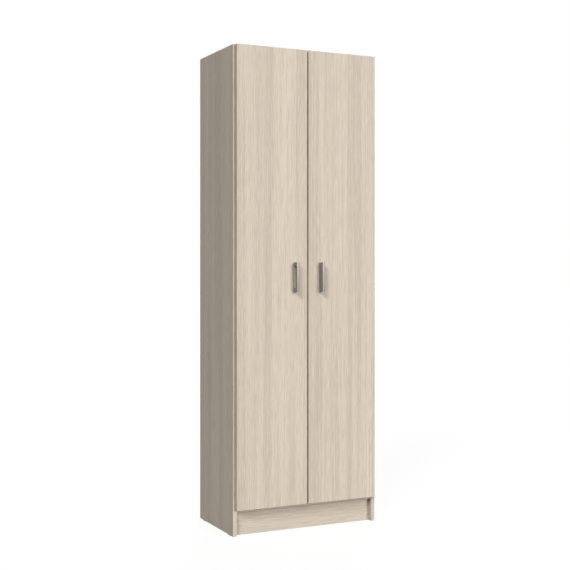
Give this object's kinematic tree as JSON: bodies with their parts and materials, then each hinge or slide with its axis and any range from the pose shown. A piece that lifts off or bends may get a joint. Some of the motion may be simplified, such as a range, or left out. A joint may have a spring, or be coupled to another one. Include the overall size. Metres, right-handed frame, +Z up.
{
  "type": "cupboard",
  "caption": "Tall narrow two-door cupboard of light oak boards with a set-back plinth, shelves inside, concealed hinges and straight pull handles by the centre gap.",
  "frame": {"origin": "on the floor, in the middle of the outline", "axes": "+X to the right as seen from the front, +Y to the back, +Z up; the doors face -Y"},
  "size_m": [0.595, 0.374, 1.8],
  "materials": {
    "oak_board": "satin",
    "hardboard_back": "matte",
    "plastic_strip": "matte",
    "glide_plastic": "matte",
    "zinc_steel": "satin",
    "satin_metal": "satin",
    "hinge_metal": "satin"
  },
  "bodies": {
    "carcase": {"left_side": "oak_board", "right_side": "oak_board", "top_panel": "oak_board", "bottom_panel": "oak_board", "middle_shelf": "oak_board", "plinth": "oak_board", "shelf_1": "oak_board", "shelf_2": "oak_board", "shelf_3": "oak_board", "shelf_4": "oak_board", "upper_back_panel": "hardboard_back", "lower_back_panel": "hardboard_back", "back_joining_strip": "plastic_strip", "shelf_supports": "plastic_strip", "floor_glides": "glide_plastic", "wall_bracket": "zinc_steel", "left_top_hinge_arm": "hinge_metal", "left_top_hinge_plate": "hinge_metal", "left_middle_hinge_arm": "hinge_metal", "left_middle_hinge_plate": "hinge_metal", "left_bottom_hinge_arm": "hinge_metal", "left_bottom_hinge_plate": "hinge_metal", "right_top_hinge_arm": "hinge_metal", "right_top_hinge_plate": "hinge_metal", "right_middle_hinge_arm": "hinge_metal", "right_middle_hinge_plate": "hinge_metal", "right_bottom_hinge_arm": "hinge_metal", "right_bottom_hinge_plate": "hinge_metal"},
    "left_carrying_links": {"left_top_hinge_carrying_link": "hinge_metal", "left_middle_hinge_carrying_link": "hinge_metal", "left_bottom_hinge_carrying_link": "hinge_metal"},
    "left_door": {"left_door": "oak_board", "left_handle": "satin_metal", "left_top_hinge_cup": "hinge_metal", "left_middle_hinge_cup": "hinge_metal", "left_bottom_hinge_cup": "hinge_metal"},
    "left_guide_links": {"left_top_hinge_guide_links": "hinge_metal", "left_middle_hinge_guide_links": "hinge_metal", "left_bottom_hinge_guide_links": "hinge_metal"},
    "right_carrying_links": {"right_top_hinge_carrying_link": "hinge_metal", "right_middle_hinge_carrying_link": "hinge_metal", "right_bottom_hinge_carrying_link": "hinge_metal"},
    "right_door": {"right_door": "oak_board", "right_handle": "satin_metal", "right_top_hinge_cup": "hinge_metal", "right_middle_hinge_cup": "hinge_metal", "right_bottom_hinge_cup": "hinge_metal"},
    "right_guide_links": {"right_top_hinge_guide_links": "hinge_metal", "right_middle_hinge_guide_links": "hinge_metal", "right_bottom_hinge_guide_links": "hinge_metal"}
  },
  "joints": [
    {"name": "left_carrying_hinge", "type": "hinge", "parent": "carcase", "child": "left_carrying_links", "pos_m": [-0.2596, -0.1509, 1.02], "axis": [0, 0, 1], "range_deg": [0, 18.09]},
    {"name": "left_door_hinge", "type": "hinge", "parent": "left_carrying_links", "child": "left_door", "pos_m": [-0.2801, -0.1529, 1.02], "axis": [0, 0, -1], "range_deg": [0, 113.08]},
    {"name": "left_guide_hinge", "type": "hinge", "parent": "left_door", "child": "left_guide_links", "pos_m": [-0.2801, -0.1475, 1.02], "axis": [0, 0, 1], "range_deg": [0, 144.73]},
    {"name": "right_carrying_hinge", "type": "hinge", "parent": "carcase", "child": "right_carrying_links", "pos_m": [0.2596, -0.1509, 1.02], "axis": [0, 0, -1], "range_deg": [0, 18.09]},
    {"name": "right_door_hinge", "type": "hinge", "parent": "right_carrying_links", "child": "right_door", "pos_m": [0.2801, -0.1529, 1.02], "axis": [0, 0, 1], "range_deg": [0, 113.08]},
    {"name": "right_guide_hinge", "type": "hinge", "parent": "right_door", "child": "right_guide_links", "pos_m": [0.2801, -0.1475, 1.02], "axis": [0, 0, -1], "range_deg": [0, 144.73]}
  ],
  "couplings": [
    {"joint": "left_carrying_hinge", "follows": "left_door_hinge", "ratio": 0.15989},
    {"joint": "left_guide_hinge", "follows": "left_door_hinge", "ratio": 1.2798},
    {"joint": "right_carrying_hinge", "follows": "right_door_hinge", "ratio": 0.15989},
    {"joint": "right_guide_hinge", "follows": "right_door_hinge", "ratio": 1.2798}
  ]
}
